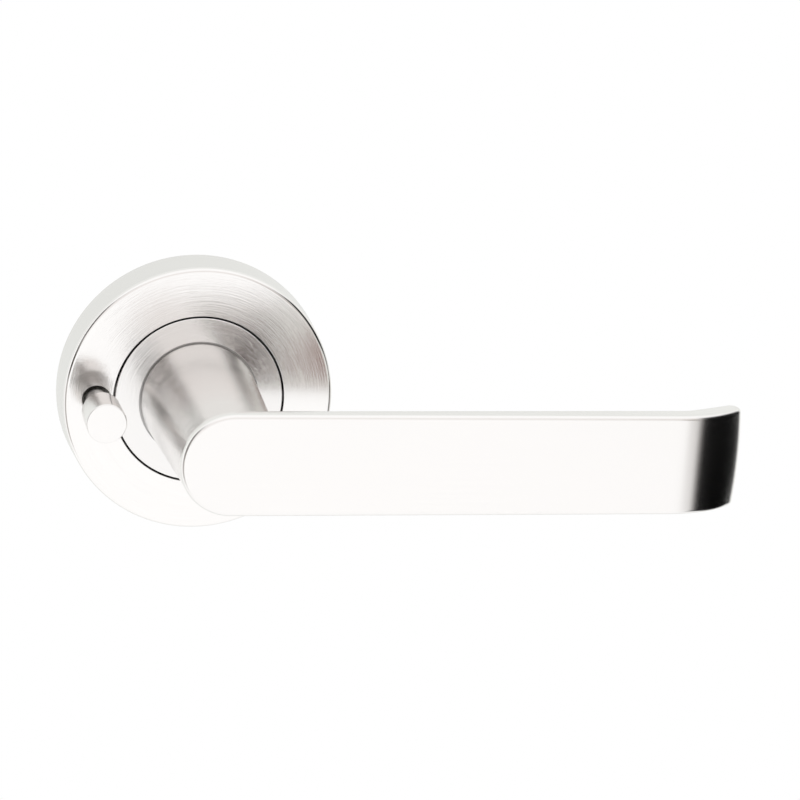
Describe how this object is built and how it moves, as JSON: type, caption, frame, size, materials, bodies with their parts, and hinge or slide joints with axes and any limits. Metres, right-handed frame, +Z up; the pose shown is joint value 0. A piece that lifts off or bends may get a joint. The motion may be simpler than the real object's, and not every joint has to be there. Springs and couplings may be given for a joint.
{
  "type": "door lever handle",
  "caption": "Inside half of a door lever set: flat blade with a curled tip on a tapered neck, sprung round rose, push-in privacy pin, square spindle and through bolts.",
  "frame": {"origin": "where the axis of the spindle meets the face of the door, at the back of the rose", "axes": "+X along the lever to its tip, +Y into the door, +Z up"},
  "size_m": [0.1523, 0.1211, 0.065],
  "materials": {
    "satin_steel": "satin stainless steel, brushed round the rose and along the blade",
    "zinc_casting": "die-cast zinc alloy, as cast",
    "plated_steel": "bright zinc-plated steel",
    "spring_steel": "drawn spring steel, lightly oiled",
    "nylon": "natural nylon, moulded"
  },
  "bodies": {
    "rose": {"rose_cover": "satin_steel", "cover_snap_ring": "plated_steel", "base_plate": "zinc_casting", "bearing_bush": "nylon", "thrust_washer": "plated_steel", "return_spring": "spring_steel", "stop_pins": "plated_steel", "fixing_bolts": "plated_steel", "guide_bush": "nylon", "detent_clip": "spring_steel"},
    "lever": {"lever_handle": "satin_steel", "neck_flange": "satin_steel", "spindle": "plated_steel", "spindle_grub_screw": "plated_steel", "spring_follower": "zinc_casting", "follower_circlip": "plated_steel", "wave_washer": "spring_steel"},
    "privacy_pin": {"privacy_knob": "satin_steel", "privacy_stem": "satin_steel", "stem_e_clip": "plated_steel"}
  },
  "joints": [
    {"name": "lever_turn", "type": "hinge", "parent": "rose", "child": "lever", "pos_m": [0, 0, 0], "axis": [0, 1, 0], "range_deg": [-45, 45], "stiffness_Nm_per_rad": 2.5, "springref_deg": -1.34, "deforming": ["return_spring"]},
    {"name": "privacy_push", "type": "slide", "parent": "rose", "child": "privacy_pin", "axis": [0, 1, 0], "range_m": [0, 0.006], "deforming": ["detent_clip"]}
  ]
}
